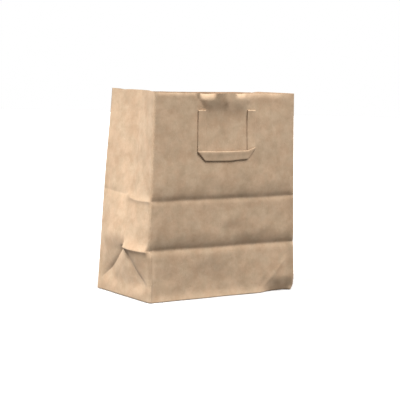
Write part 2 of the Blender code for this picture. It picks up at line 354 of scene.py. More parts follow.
def rim_height(side, s):
    n = Noise(61 + side)
    lift = 0.45 * n(s / 34, 1.5) + 0.12 * n(s / 9, 4.5)
    if side == 0:
        drop = 0.7 * smooth(s, 0, 25) * smooth(W - s, 0, 25) + 1.6 * bump(s, W / 2 - 43, 14) + 1.1 * bump(s, W / 2 + 28, 8)
        lift = lift - drop
    length = D if side in (1, 3) else W
    corners = 0.0
    if side == 1:
        corners = -2.4 * smooth(s, D - 70.0, D)
    elif side == 2:
        corners = -2.4 * smooth(W - s, 8.0, 55.0)
    elif side == 3:
        corners = 2.0 * smooth(s, 14.0, 60.0) * (1.0 - smooth(s, 135.0, D))
    if side in (2, 3):
        corners = corners + 3.2 * np.exp(-(((W - s) if side == 2 else s) / 26.0) ** 2)
    return corners + lift * smooth(s, 0.0, 12.0) * smooth(length - s, 0.0, 12.0)


def sheet_point(side, s, z):
    """side 0 front, 1 right, 2 back, 3 left; s runs anticlockwise seen from above, from each side's first corner."""
    s, z = np.broadcast_arrays(np.asarray(s, float), np.asarray(z, float))
    if side == 0:
        x = s - W / 2
        roll = rim_in(x, z) * smooth(s, 0.0, 10.0) * smooth(W - s, 0.0, 10.0)
        xy = panel("FL", "FR", s, W, z, front_in(x, z), roll)
    elif side == 1:
        tent, rest = side_in(s - D / 2, z, 1)
        xy = panel("FR", "BR", s, D, z, rest, tent)
    elif side == 2:
        x = W / 2 - s
        lap = 0.34 * np.where((s > SEAM) & (s < SEAM + 26.0), 1.0 - smooth(s, SEAM + 6.0, SEAM + 26.0), 0.0)
        xy = panel("BR", "BL", s, W, z, back_in(x, z), -lap)
    else:
        tent, rest = side_in(D / 2 - s, z, 3)
        xy = panel("BL", "FL", s, D, z, rest, tent, 8.0)
    high = z + rim_height(side, s) * smooth(z, 318.0, 356.0)
    return np.concatenate([xy, high[..., None]], -1)


SEAM = 196.0  # the pasted overlap down the back, from the back right corner


def foot_list():
    """Heights from the foot to the lower crease. The sides use the same list across, so their slanting folds meet the grid."""
    near = [0.0, 0.45, 1.0, 1.8, 3.0, 4.6, 6.8, 9.6, 12.8]
    far = [Z_LOW - d for d in (0.0, 0.7, 1.6, 2.8, 4.4, 6.6, 9.4, 12.8)]
    middle = list(np.linspace(16.4, Z_LOW - 16.4, 17))
    return np.array(near + middle + far[::-1])


def row_heights():
    rows = list(foot_list())
    rows += [Z_LOW + d for d in (0.8, 1.8, 3.2, 5.2, 8.0, 11.5, 15.2)]
    rows += list(np.linspace(108.0, 160.0, 14))
    rows += [163.0, 165.6, 168.0, 169.8, 171.2, 172.2, 173.0, 173.8, 175.0, 176.6, 178.4, 180.2, 182.0, 184.0, 186.6, 190.0]
    rows += list(np.linspace(194.0, 300.0, 27))
    rows += list(np.linspace(303.5, 341.0, 14))
    rows += list(np.linspace(343.2, H, 9))
    return np.array(rows)


def long_columns(count):
    ends = [0.0, 0.5, 1.1, 1.9, 3.0, 4.6, 6.8, 9.6, 13.0]
    inner = list(np.linspace(16.4, W - 16.4, count))
    cols = ends + inner + [W - d for d in ends[::-1]]
    return np.array(cols)


def side_columns():
    across = foot_list()
    left = list(across)
    right = [D - v for v in across[::-1][1:]]
    return np.array(left + right)


# ------------------------------------------------------------------ the sheet as a mesh
def wall_grid():
    """Points[row, column] all round, the row heights, the sides' column starts and the columns of each side."""
    z = row_heights()
    spans = [long_columns(124), side_columns(), long_columns(72), side_columns()]
    extra = np.array([SEAM - 0.15, SEAM + 0.15, SEAM + 3.0])
    spans[2] = np.unique(np.concatenate([spans[2], extra]))
    pts, starts, sides, dist = [], [], [], []
    count = 0
    for side, cols in enumerate(spans):
        s = cols[:-1]
        starts.append(count)
        count += len(s)
        pts.append(sheet_point(side, s[None, :], z[:, None]))
        sides += [side] * len(s)
        dist.append(s)
    grid = np.concatenate(pts, 1)
    soften_corners(grid, starts, spans)
    soften_foot(grid, z, starts)
    return grid, z, starts, spans


def soften_corners(grid, starts, spans):
    """Each vertical fold is rounded: points within reach of it move along the change in direction."""
    total = grid.shape[1]
    for k, start in enumerate(starts):
        reach = (8.6, 3.4, 2.6, 2.6)[k]
        ahead = spans[k]
        behind = spans[k - 1]
        gap_back = behind[-1] - behind
        pick_a = int(np.argmin(np.abs(ahead - 1.3 * reach)))
        pick_b = int(np.argmin(np.abs(gap_back - 1.3 * reach)))
        here = grid[:, start].copy()
        t2 = grid[:, start + pick_a] - here
        index_b = (start - (len(behind) - 1 - pick_b)) % total
        t1 = here - grid[:, index_b]
        t1[:, 2] = t2[:, 2] = 0.0
        t1 /= np.linalg.norm(t1, axis=1, keepdims=True)
        t2 /= np.linalg.norm(t2, axis=1, keepdims=True)
        turn = t2 - t1
        for j, gap in enumerate(ahead):
            if gap < reach:
                grid[:, start + j] += turn * (reach - gap) ** 2 / (4 * reach)
        for j, gap in enumerate(gap_back[:-1]):
            if 0 < gap < reach:
                index = (start - (len(behind) - 1 - j)) % total
                grid[:, index] += turn * (reach - gap) ** 2 / (4 * reach)


def outward(grid):
    """Horizontal outward direction of each column at the foot."""
    ring = grid[3, :, :2]
    ahead, behind = np.roll(ring, -1, 0) - ring, ring - np.roll(ring, 1, 0)
    run = ahead / np.linalg.norm(ahead, axis=1, keepdims=True) + behind / np.linalg.norm(behind, axis=1, keepdims=True)
    run /= np.linalg.norm(run, axis=1, keepdims=True)
    return np.stack([run[:, 1], -run[:, 0], np.zeros(len(run))], -1)


def soften_foot(grid, z, starts):
    out = outward(grid)
    for i, height in enumerate(z):
        if height < FOOT_ROUND:
            g = (FOOT_ROUND - height) ** 2 / (4 * FOOT_ROUND)
            grid[i] += (np.array([0.0, 0.0, 1.0]) - out) * g


def base_height(x, y):
    """Underside of the block bottom: two pasted flaps with slanting ends over the folded-in ends of the sides."""
    end = (W / 2 - np.abs(x)) - (D / 2 - np.abs(y))  # below 0 in the end triangles
    inner = 0.36 * (1.0 - smooth(end, -0.35, 0.0))
    lapped = 0.30 * (1.0 - smooth(y, 11.85, 12.15)) * smooth(end, -0.35, 0.0)
    return inner + lapped


def base_mesh(ring, first_index):
    """Fills the foot ring with flat triangles that follow the flaps' edges. Returns new points and triangles."""
    n = len(ring)
    centre = ring[:, :2].mean(0)
    pts = [Vector((float(x), float(y))) for x, y in ring[:, :2]]
    edges = []

    start, run = ring[:, :2], np.roll(ring[:, :2], -1, 0) - ring[:, :2]
    square = (run**2).sum(1) + 1e-12

    def room(x, y):
        """Distance from the ring, below 0 outside it."""
        rel = np.array([x, y]) - start
        t = np.clip((rel * run).sum(1) / square, 0.0, 1.0)
        gap = np.sqrt(((rel - t[:, None] * run) ** 2).sum(1)).min()
        spans = (start[:, 1] > y) != (start[:, 1] + run[:, 1] > y)
        hits = start[:, 0] + (y - start[:, 1]) / np.where(spans, run[:, 1], 1.0) * run[:, 0] > x
        return gap if (spans & hits).sum() % 2 else -gap

    def add(x, y):
        pts.append(Vector((float(x), float(y))))
        return len(pts) - 1

    inside_x, inside_y = W / 2 - 2.6, D / 2 - 2.6
    for inset in (0.9, 2.0):
        for k in range(0, n):
            p = ring[k, :2]
            x = math.copysign(max(abs(p[0]) - inset, 0.0), p[0]) if abs(abs(p[0]) - W / 2) < 8 else p[0]
            y = math.copysign(max(abs(p[1]) - inset, 0.0), p[1]) if abs(abs(p[1]) - D / 2) < 8 else p[1]
            if abs(x) < W / 2 - 0.5 and abs(y) < D / 2 - 0.5 and k % 2 == 0 and room(x, y) > 0.4:
                add(x, y)
    # the flaps' slanting ends, as two close lines each
    tip = W / 2 - D / 2
    for sx in (-1, 1):
        for sy in (-1, 1):
            for shift in (0.0, -0.35):
                line = []
                for t in np.linspace(0.04, 1.0, 22):
                    x = W / 2 - (D / 2) * t
                    y = D / 2 * (1 - t)
                    px, py = sx * (x - shift * 0.7), sy * y
                    if abs(px) < inside_x and abs(py) < inside_y and room(px, py) > 1.2:
                        line.append(add(px, py))
                edges += list(zip(line, line[1:]))
    for y in (11.85, 12.15):
        line = [add(x, y) for x in np.linspace(-(tip + D / 2 - y) + 0.8, tip + D / 2 - y - 0.8, 40)]
        edges += list(zip(line, line[1:]))
    for x in np.linspace(-inside_x + 6, inside_x - 6, 37):
        for y in np.linspace(-inside_y + 6, inside_y - 6, 22):
            if room(x + 0.37, y + 0.21) > 1.2:
                add(x + 0.37, y + 0.21)
    loop = [list(range(n))]
    verts, _, faces, origin, _, _ = delaunay_2d_cdt(pts, edges, loop, 1, 1e-4)
    index, made = {}, []
    for k, source in enumerate(origin):
        rim = [i for i in source if i < n]
        if rim:
            index[k] = rim[0]
        else:
            x, y = verts[k]
            gap = max(0.0, min(W / 2 - abs(x), D / 2 - abs(y)))
            lift = (FOOT_ROUND - gap) ** 2 / (4 * FOOT_ROUND) if gap < FOOT_ROUND else 0.0
            flat = float(base_height(x, y)) * float(smooth(gap, 1.6, 5.0))
            index[k] = first_index + len(made)
            made.append((x, y, lift + flat))
    tris = [tuple(index[v] for v in face)[::-1] for face in faces]
    return made, tris


def fill_side(side, columns, z, c0, c1, r0):
    """Points and triangles of a gusseted side inside its edge strips. They are laid along the fold lines."""
    def to_s(y):
        return y + D / 2 if side == 1 else D / 2 - y

    top = len(z) - 1
    rim = [(j, r0) for j in range(c0, c1)] + [(c1, i) for i in range(r0, top)]
    rim += [(j, top) for j in range(c1, c0, -1)] + [(c0, i) for i in range(top, r0, -1)]
    pts = [(columns[j], z[i]) for j, i in rim]
    edges = []
    low_s, high_s, low_z, high_z = columns[c0], columns[c1], z[r0], z[top]
    lines = {}
    for name, line in SIDE_LINES[side].items():
        keep = line[::3] if (len(line) - 1) % 3 == 0 else np.vstack([line[::3], line[-1:]])
        lines[name] = np.stack([to_s(keep[:, 0]), keep[:, 1]], 1)
    store = np.array(pts)

    def clear(p, gap):
        return ((store - p) ** 2).sum(1).min() > gap * gap

    def inside(p, margin=1.0):
        return low_s + margin < p[0] < high_s - margin and low_z + margin < p[1] < high_z - margin

    for line in lines.values():
        previous = None
        for p in line:
            if inside(p):
                gaps = ((store - p) ** 2).sum(1)
                if gaps.min() < 0.6**2:
                    here = int(gaps.argmin())
                else:
                    store = np.vstack([store, p])
                    here = len(store) - 1
                if previous is not None and previous != here:
                    edges.append((previous, here))
                previous = here
            else:
                previous = None
    for offset, gap in ((0.55, 0.42), (1.3, 0.62), (2.5, 1.0), (4.4, 1.6), (7.2, 2.3), (10.8, 3.0)):
        for name, line in lines.items():
            if name == "middle" and offset > 5.0:
                continue
            run = np.gradient(line, axis=0)
            run /= np.linalg.norm(run, axis=1, keepdims=True)
            normal = np.stack([-run[:, 1], run[:, 0]], 1)
            skip = 1 if name != "middle" else 2
            for turn in (1, -1):
                for p in (line + turn * offset * normal)[::skip]:
                    if inside(p, 1.4) and clear(p, gap):
                        store = np.vstack([store, p])
    odd = 0
    for height in np.arange(low_z + 2.4, high_z - 2.0, 4.3):
        odd ^= 1
        for across in np.arange(low_s + 2.2 + 2.1 * odd, high_s - 2.0, 4.2):
            p = np.array([across, height])
            if inside(p, 1.8) and clear(p, 3.0):
                store = np.vstack([store, p])
    count = len(rim)
    verts, _, faces, origin, _, _ = delaunay_2d_cdt([Vector(p) for p in store.tolist()], edges, [list(range(count))], 1, 1e-3)
    spots = np.array([(v[0], v[1]) for v in verts])
    made = sheet_point(side, spots[:, 0], spots[:, 1])
    owner = []
    for source in origin:
        edge = [i for i in source if i < count]
        owner.append(rim[edge[0]] if edge else None)
    return spots, made, owner, [tuple(f) for f in faces]


def rub_and_highlight_at(side, s, z, length):
    """How rubbed the sheet is, from 0 to 1, as real rubbing plus a painted highlight: folds, corner edges, the rim and
    the foot.
    """
    near = np.minimum(s, length - s)
    rub_and_highlight = 0.7 * np.exp(-near / 1.3) + 0.5 * np.exp(-z / 1.6) + 0.5 * np.exp(-(H - z) / 0.9)
    if side == 0:
        rub_and_highlight = rub_and_highlight + 0.8 * np.exp(-np.abs(z - Z_LOW) / 1.3) + 0.6 * np.exp(-np.abs(z - Z_HIGH) / 1.3)
    elif side == 2:
        rub_and_highlight = rub_and_highlight + 0.7 * np.exp(-np.abs(z - 182.0) / 1.3)
    else:
        y = s - D / 2 if side == 1 else D / 2 - s
        for name, line in SIDE_LINES[side].items():
            t, _ = from_line(y, z, line)
            rub_and_highlight = rub_and_highlight + (0.3 if name == "middle" else 0.75) * np.exp(-np.abs(t) / 1.2)
    return np.clip(rub_and_highlight, 0.0, 1.0)


def make_object(name, points, faces, rub_and_highlight=None):
    mesh = bpy.data.meshes.new(name)
    mesh.from_pydata([tuple(p) for p in np.asarray(points) / 1000.0], [], faces)
    mesh.validate()
    # this layer holds real rubbing plus a painted highlight along folds and edges, for the material to make paler
    if rub_and_highlight is not None:
        layer = mesh.attributes.new("rub_and_highlight", "FLOAT", "POINT")
        layer.data.foreach_set("value", np.asarray(rub_and_highlight, np.float32))
    item = bpy.data.objects.new(name, mesh)
    bpy.context.scene.collection.objects.link(item)
    mesh.shade_smooth()
    return item


def settle(item, sharp=50.0):
    """Applies the modifiers, and keeps only true edges sharp."""
    graph = bpy.context.evaluated_depsgraph_get()
    mesh = bpy.data.meshes.new_from_object(item.evaluated_get(graph), preserve_all_data_layers=True, depsgraph=graph)
    mesh.name = item.name
    item.modifiers.clear()
    item.data = mesh
    mesh.shade_smooth()
    mesh.set_sharp_from_angle(angle=math.radians(sharp))
    return item


def make_bag(material):
    grid, z, starts, spans = wall_grid()
    rows, cols = grid.shape[:2]
    side_of = np.searchsorted(np.array(starts), np.arange(cols), side="right") - 1
    r0 = int(np.argmin(np.abs(z - 3.0)))
    # how pale each point is made: partly real rubbing, partly a painted highlight along folds and edges
    rub_and_highlight_amount = np.zeros((rows, cols))
    for side, columns in enumerate(spans):
        s = columns[:-1]
        rub_and_highlight_amount[:, starts[side] : starts[side] + len(s)] = rub_and_highlight_at(side, s[None, :], z[:, None], columns[-1])

    points = list(grid.reshape(-1, 3))
    rub_and_highlight = list(rub_and_highlight_amount.reshape(-1))
    faces = []
    limits = {}
    for side in (1, 3):
        columns = spans[side]
        c0 = int(np.argmin(np.abs(columns - 6.8)))
        limits[side] = (c0, len(columns) - 1 - c0)
    for i in range(rows - 1):
        for j in range(cols):
            side = side_of[j]
            if side in limits and i >= r0 and limits[side][0] <= j - starts[side] < limits[side][1]:
                continue
            k = (j + 1) % cols
            faces.append((i * cols + j, i * cols + k, (i + 1) * cols + k, (i + 1) * cols + j))
    for side, (c0, c1) in limits.items():
        spots, made, owner, tris = fill_side(side, spans[side], z, c0, c1, r0)
        fill_rub_and_highlight = rub_and_highlight_at(side, spots[:, 0], spots[:, 1], D)
        index = []
        for k, source in enumerate(owner):
            if source is None:
                index.append(len(points))
                points.append(made[k])
                rub_and_highlight.append(float(fill_rub_and_highlight[k]))
            else:
                index.append(source[1] * cols + (starts[side] + source[0]) % cols)
        faces += [tuple(index[v] for v in tri) for tri in tris]
    extra, tris = base_mesh(grid[0], len(points))
    points += extra
    rub_and_highlight += [0.0] * len(extra)
    faces += tris

    used = sorted({v for face in faces for v in face})
    place = {v: k for k, v in enumerate(used)}
    points = [points[v] for v in used]
    rub_and_highlight = [rub_and_highlight[v] for v in used]
    faces = [tuple(place[v] for v in face) for face in faces]
    bag = make_object("paper_bag", points, faces, rub_and_highlight)
    sheet = bag.modifiers.new("Sheet", "SOLIDIFY")
    sheet.thickness = PAPER / 1000.0
    sheet.offset = -1.0
    sheet.use_even_offset = False
    settle(bag, 55.0)
    bag.data.materials.append(material)
    return bag


# ------------------------------------------------------------------ handles
def front_surface(x, z):
    """Distance of the front panel's outer face from the plane y = -D/2, inward positive."""
    s = np.clip(x + W / 2, 0.0, W)
    return sheet_point(0, s, z)[..., 1] + D / 2


def tape_section():
    """Closed outline of the folded tape: (share across, height off its middle). One edge is rolled and fuller."""
    half = 0.34
    full = [(0.0, 0.0), (0.012, 0.30), (0.035, 0.50), (0.075, 0.66), (0.13, 0.74), (0.19, 0.75), (0.26, 0.72), (0.32, 0.67), (0.38, 0.60)]
    flat = [(0.44, 0.53), (0.50, 0.47), (0.58, 0.41), (0.68, 0.37), (0.80, 0.35), (0.90, 0.34), (0.955, 0.30), (0.985, 0.18), (1.0, 0.0)]
    top = full + flat
    bottom = []
    for u, _ in top[1:-1]:
        edge = min(u, 1.0 - u) * TAPE_W
        bottom.append((u, -half * math.sqrt(max(0.0, 1.0 - (1.0 - min(1.0, edge / 0.5)) ** 2))))
    return top + bottom[::-1]


def tape_path(face):
    """Rows of the tape's middle surface, from one pasted end to the other: functions of the share across it."""
    noise = Noise(91 + face)
    flat = 0.42
    r_hinge = 0.75
    mid = HINGE - r_hinge - 0.4
    step = 0.44
    x_out = {-1: -LOOP_W / 2, 1: LOOP_W / 2}
    lean = -1.0 if face == 0 else 0.6  # which way the hanging loop is skewed

    def lay(x, z):
        """How far the hanging loop stands off the panel."""
        hang = 0.78 + lean * 0.002 * x * float(smooth(mid - z, 0.0, 70.0))
        hang = hang - (0.42 if lean * x > 0 else 0.16) * float(smooth(289.0 - z, 0.0, 24.0))
        top = flat + 2 * r_hinge
        return top + (flat + hang - top) * float(smooth(mid - z, 0.0, 34.0))

    def strap(side, z, extra=0.0):
        def at(u):
            x = x_out[side] - side * u * TAPE_W
            turn = (0.10 if lean * side > 0 else 0.30) * (u - 0.5) * float(smooth(mid - z, 2.0, 26.0))
            wave = 0.22 * float(noise(z / 17.0, 3.0 + side)) * float(smooth(mid - z, 0.0, 20.0))
            puff = 0.75 * (1.0 - u) * math.exp(-(((z - BAND_TOP - 4.0) / 5.0) ** 2))
            return (x, lay(x, z) + turn + wave + puff + extra, z)

        return at

    def slant(side, u):
        """Height of the fold that turns a strap into the cross band. The loop's right end (seen from its face) curls up."""
        curled = side == (1 if face == 0 else -1)
        return BAND_TOP - u * TAPE_W + (5.6 * (1.0 - u) ** 1.4 + 1.7 * u if curled else 0.0)

    def one_strap(side):
        made = []
        for z in np.linspace(289.0, mid, 12):
            made.append(("pasted", lambda u, z=z: (x_out[side] - side * u * TAPE_W, flat, z)))
        for k in range(1, 10):
            t = math.pi * k / 10
            made.append(
                (
                    "bend",
                    lambda u, t=t: (x_out[side] - side * u * TAPE_W, flat + r_hinge * (1 - math.cos(t)), mid + r_hinge * math.sin(t)),
                )
            )
        for z in np.linspace(mid, BAND_TOP + 2.0, 34):
            made.append(("strap", strap(side, z)))
        for t in (0.25, 0.5, 0.75, 1.0):
            made.append(
                (
                    "strap",
                    lambda u, t=t: (
                        strap(side, BAND_TOP + 2.0)(u)[0],
                        strap(side, BAND_TOP + 2.0)(u)[1],
                        (BAND_TOP + 2.0) * (1 - t) + slant(side, u) * t,
                    ),
                )
            )
        for k in range(1, 7):
            t = math.pi * k / 6
            grow = step * math.sin(t)

            def at(u, t=t, grow=grow):
                x, off, _ = strap(side, BAND_TOP + 2.0)(u)
                return (x + side * grow * 0.7, off + step * (1 - math.cos(t)), slant(side, u) - grow * 0.7)

            made.append(("corner" if k < 6 else "band", at))
        return made

    left, right = one_strap(-1), one_strap(1)
    inner_left, inner_right = x_out[-1] + TAPE_W, x_out[1] - TAPE_W

    def band(x, share, u):
        """The cross band between the two corners: it bows out a little, most at its rolled upper edge."""
        base = strap(-1, BAND_TOP + 2.0)(1.0)[1] * (1 - share) + strap(1, BAND_TOP + 2.0)(1.0)[1] * share
        swell = math.sin(math.pi * share)
        bow = (1.2 * swell + 0.25 * float(noise(x / 15.0, 20.0))) * (1 - u) + 0.8 * (1 - u) + 0.15 * u
        end = share if face == 0 else 1.0 - share
        rise = 1.7 * u * float(smooth(end, 0.55, 1.0))
        return (x, base + 2 * step + bow, BAND_TOP - u * TAPE_W - 0.7 * swell + rise + 0.25 * float(noise(x / 23.0, 31.0)) * swell)

    rows = list(left)
    corner_left, corner_right = left[-1][1], right[-1][1]
    for t in (0.25, 0.5, 0.75, 1.0):
        def at(u, t=t):
            x0, off0, z0 = corner_left(u)
            x1, off1, z1 = band(inner_left, 0.0, u)
            return (x0 * (1 - t) + x1 * t, off0 * (1 - t) + off1 * t, z0 * (1 - t) + z1 * t)

        rows.append(("band", at))
    for x in np.linspace(inner_left, inner_right, 44)[1:-1]:
        share = (x - inner_left) / (inner_right - inner_left)
        rows.append(("band", lambda u, x=x, share=share: band(x, share, u)))
    for t in (1.0, 0.75, 0.5, 0.25):
        def at(u, t=t):
            x0, off0, z0 = corner_right(u)
            x1, off1, z1 = band(inner_right, 1.0, u)
            return (x0 * (1 - t) + x1 * t, off0 * (1 - t) + off1 * t, z0 * (1 - t) + z1 * t)

        rows.append(("band", at))
    rows += right[::-1]
    return rows


def make_handle(name, face, material):
    rows = tape_path(face)
    section = tape_section()
    shares = np.array([u for u, _ in section])
    heights = np.array([v for _, v in section])
    base = np.array([[row(u) for u in shares] for _, row in rows])  # row, share, (x, off, z)
    kinds = [kind for kind, _ in rows]
    n = len(rows)

    # lay the tape on the panel: pasted ends follow it closely, the rest only its slow shape
    x, off, z = base[..., 0], base[..., 1], base[..., 2]
    if face == 0:
        px = x + LOOP_X
        under = front_surface(px, np.clip(z, 0, H))
        y = -D / 2 + under
        middle = np.full_like(under, -D / 2)
        follow = np.array([1.0 if kind in ("pasted",) else 0.0 for kind in kinds])
        # blend over the hinge so the tape stays whole
        follow = np.convolve(np.pad(follow, 4, mode="edge"), np.ones(9) / 9, "valid")[:, None]
        surface = y * follow + np.minimum(y, middle) * (1 - follow)
        place = np.stack([px, surface - off, z], -1)
    else:
        # the back panel leans; this handle faces +Y and is turned round
        px = -x + 21.6 * 282.6 / H + 4.0
        s = np.clip(W / 2 - (px - 21.6 * z / H), 1.0, W - 1.0)
        under = sheet_point(2, s, np.clip(z, 0, H))[..., 1]
        plain = D / 2 - 4.8 * z / H
        follow = np.array([1.0 if kind in ("pasted",) else 0.0 for kind in kinds])
        follow = np.convolve(np.pad(follow, 4, mode="edge"), np.ones(9) / 9, "valid")[:, None]
        surface = under * follow + np.maximum(under, plain) * (1 - follow)
        place = np.stack([px, surface + off, z], -1)

    # the rolled edge lies flat where the strap covers its pasted end, and is full along the cross band
    full = {"pasted": 0.0, "bend": 0.0, "corner": 0.75, "band": 1.0}
    roll = np.array([full.get(kind, 0.5 * float(smooth(285.0 - row[:, 2].max(), 0.0, 27.0))) for kind, row in zip(kinds, base)])
    roll = np.convolve(np.pad(roll, 2, mode="edge"), np.ones(5) / 5, "valid")[:, None]
    heights = np.minimum(heights, 0.34)[None, :] + np.maximum(heights - 0.34, 0.0)[None, :] * roll

    # normals of the middle surface, from finite differences along and across it
    along = np.gradient(place, axis=0)
    first, last = [int(np.argmin(shares)), int(np.argmax(shares))]
    across = place[:, last] - place[:, first]
    normal = np.cross(across[:, None, :], along)
    normal /= np.linalg.norm(normal, axis=-1, keepdims=True) + 1e-12
    # at the slanting folds the rows bunch up, so the direction is smoothed along the tape
    padded = np.concatenate([normal[:1], normal, normal[-1:]])
    normal = padded[:-2] * 0.25 + padded[1:-1] * 0.5 + padded[2:] * 0.25
    normal /= np.linalg.norm(normal, axis=-1, keepdims=True) + 1e-12
    points = place + normal * heights[..., None]

    m = len(section)
    faces = []
    for i in range(n - 1):
        for j in range(m):
            k = (j + 1) % m
            faces.append((i * m + j, i * m + k, (i + 1) * m + k, (i + 1) * m + j))
    faces.append(tuple(range(m))[::-1])
    faces.append(tuple((n - 1) * m + j for j in range(m)))
    # paler tape edges, bends and corners: partly real rubbing, partly a painted highlight
    rub_and_highlight = np.clip(1.0 - np.minimum(shares, 1 - shares) * TAPE_W / 1.2, 0, 1) * 0.7
    rub_and_highlight = np.broadcast_to(rub_and_highlight, (n, m)).copy()
    for i, kind in enumerate(kinds):
        if kind in ("bend", "corner"):
            rub_and_highlight[i] = 0.8
    item = make_object(name, points.reshape(-1, 3), faces, rub_and_highlight.reshape(-1))
    bm = bmesh.new()
    bm.from_mesh(item.data)
    bmesh.ops.recalc_face_normals(bm, faces=bm.faces)
    bm.to_mesh(item.data)
    bm.free()
    item.data.set_sharp_from_angle(angle=math.radians(60.0))
    item.data.materials.append(material)
    return item


# ------------------------------------------------------------------ materials
def node(tree, kind, **values):
    made = tree.nodes.new(kind)
    for key, value in values.items():
        setattr(made, key, value)
    return made


def kraft(name, colour, dark, light, grain=1.0):
    """Kraft paper: cloudy fibre mass, single fibres and specks, rubbed folds with a painted highlight, and a fine
    felt-like tooth.
    """
    material = bpy.data.materials.new(name)
    material.use_nodes = True
    tree = material.node_tree
    shader = tree.nodes["Principled BSDF"]
    links = tree.links
    coords = node(tree, "ShaderNodeTexCoord")

    def mapped(scale, turn=(0.0, 0.0, 0.0)):
        m = node(tree, "ShaderNodeMapping")
        m.inputs["Scale"].default_value = scale
        m.inputs["Rotation"].default_value = turn
        links.new(coords.outputs["Object"], m.inputs["Vector"])
        return m.outputs["Vector"]

    def noise(scale, vector, detail=3.0, rough=0.55, distortion=0.0):
        n = node(tree, "ShaderNodeTexNoise")
        n.inputs["Scale"].default_value = scale
        n.inputs["Detail"].default_value = detail
        n.inputs["Roughness"].default_value = rough
        n.inputs["Distortion"].default_value = distortion
        links.new(vector, n.inputs["Vector"])
        return n.outputs["Fac"]

    def ramp(value, low, high, a=0.0, b=1.0):
        r = node(tree, "ShaderNodeMapRange")
        r.interpolation_type = "SMOOTHSTEP"
        r.inputs["From Min"].default_value = low
        r.inputs["From Max"].default_value = high
        r.inputs["To Min"].default_value = a
        r.inputs["To Max"].default_value = b
        links.new(value, r.inputs["Value"])
        return r.outputs["Result"]

    def mix(kind, factor, one, two):
        m = node(tree, "ShaderNodeMix", data_type="RGBA", blend_type=kind)
        if isinstance(factor, float):
            m.inputs["Factor"].default_value = factor
        else:
            links.new(factor, m.inputs["Factor"])
        for socket, value in (("A", one), ("B", two)):
            target = [i for i in m.inputs if i.name == socket and i.type == "RGBA"][0]
            if isinstance(value, tuple):
                target.default_value = value
            else:
                links.new(value, target)
        return [o for o in m.outputs if o.type == "RGBA"][0]

    def maths(kind, one, two):
        m = node(tree, "ShaderNodeMath", operation=kind)
        for socket, value in zip(m.inputs, (one, two)):
            if isinstance(value, float):
                socket.default_value = value
            else:
                links.new(value, socket)
        return m.outputs[0]

    plain = mapped((1.0, 1.0, 1.0))
    cloud = ramp(noise(34.0, plain, 6.0, 0.66), 0.36, 0.66)
    patch = ramp(noise(9.0, mapped((1.0, 1.0, 0.7)), 2.0, 0.5), 0.35, 0.65)
    tint = ramp(noise(44.0, mapped((1.0, 1.0, 1.0), (0.4, 0.2, 0.1)), 3.0, 0.6), 0.35, 0.65)

    base = mix("MIX", cloud, dark, light)
    base = mix("MIX", 0.15, base, colour)
    blot = ramp(noise(62.0, mapped((1.0, 1.0, 1.2), (0.1, 0.3, 0.2)), 4.0, 0.62, 0.4), 0.40, 0.66)
    base = mix("MULTIPLY", maths("MULTIPLY", blot, 0.75), base, (0.905, 0.90, 0.885, 1.0))
    base = mix("MULTIPLY", maths("MULTIPLY", patch, 0.5), base, (0.93, 0.925, 0.915, 1.0))
    base = mix("SOFT_LIGHT", maths("MULTIPLY", tint, 0.30), base, (0.62, 0.47, 0.44, 1.0))

    # fibres: long thin streaks in three directions
    fibres = None
    for turn, scale in (
        ((0.45, 0.3, 0.0), (1500.0, 1500.0, 210.0)),
        ((1.35, 0.2, 0.3), (1700.0, 1700.0, 230.0)),
        ((-1.15, -0.5, 0.6), (1600.0, 1600.0, 220.0)),
    ):
        one = ramp(noise(1.0, mapped(scale, turn), 2.0, 0.5, 0.4), 0.52, 0.74)
        fibres = one if fibres is None else maths("MAXIMUM", fibres, one)
    base = mix("MULTIPLY", maths("MULTIPLY", fibres, 0.20), base, (0.70, 0.64, 0.56, 1.0))
    pale = ramp(noise(1.0, mapped((1300.0, 1300.0, 170.0), (1.0, -0.9, 0.4)), 2.0, 0.5, 0.5), 0.58, 0.76)
    base = mix("SCREEN", maths("MULTIPLY", pale, 0.12), base, (0.75, 0.66, 0.55, 1.0))

    # bark specks
    cells = node(tree, "ShaderNodeTexVoronoi", feature="F1")
    cells.inputs["Scale"].default_value = 210.0
    links.new(plain, cells.inputs["Vector"])
    rare = ramp(noise(55.0, plain, 2.0, 0.5), 0.55, 0.66)
    speck = maths("MULTIPLY", ramp(cells.outputs["Distance"], 0.10, 0.20, 1.0, 0.0), rare)
    base = mix("MULTIPLY", maths("MULTIPLY", speck, 0.42), base, (0.42, 0.33, 0.25, 1.0))

    # rubbed folds are paler and a little greyer: partly real rubbing, partly a painted highlight along folds and edges
    rub_and_highlight_amount = node(tree, "ShaderNodeAttribute", attribute_name="rub_and_highlight")
    ragged = ramp(noise(240.0, plain, 3.0, 0.6), 0.36, 0.66)
    rub_and_highlight_mask = maths("MULTIPLY", rub_and_highlight_amount.outputs["Fac"], ragged)
    base = mix("MIX", maths("MULTIPLY", rub_and_highlight_mask, 0.30), base, (light[0] * 1.16, light[1] * 1.17, light[2] * 1.20, 1.0))
    links.new(base, shader.inputs["Base Color"])

    rough = ramp(cloud, 0.0, 1.0, 0.78, 0.90)
    links.new(rough, shader.inputs["Roughness"])
    shader.inputs["Specular IOR Level"].default_value = 0.28
    shader.inputs["Sheen Weight"].default_value = 0.06
    shader.inputs["Sheen Roughness"].default_value = 0.6

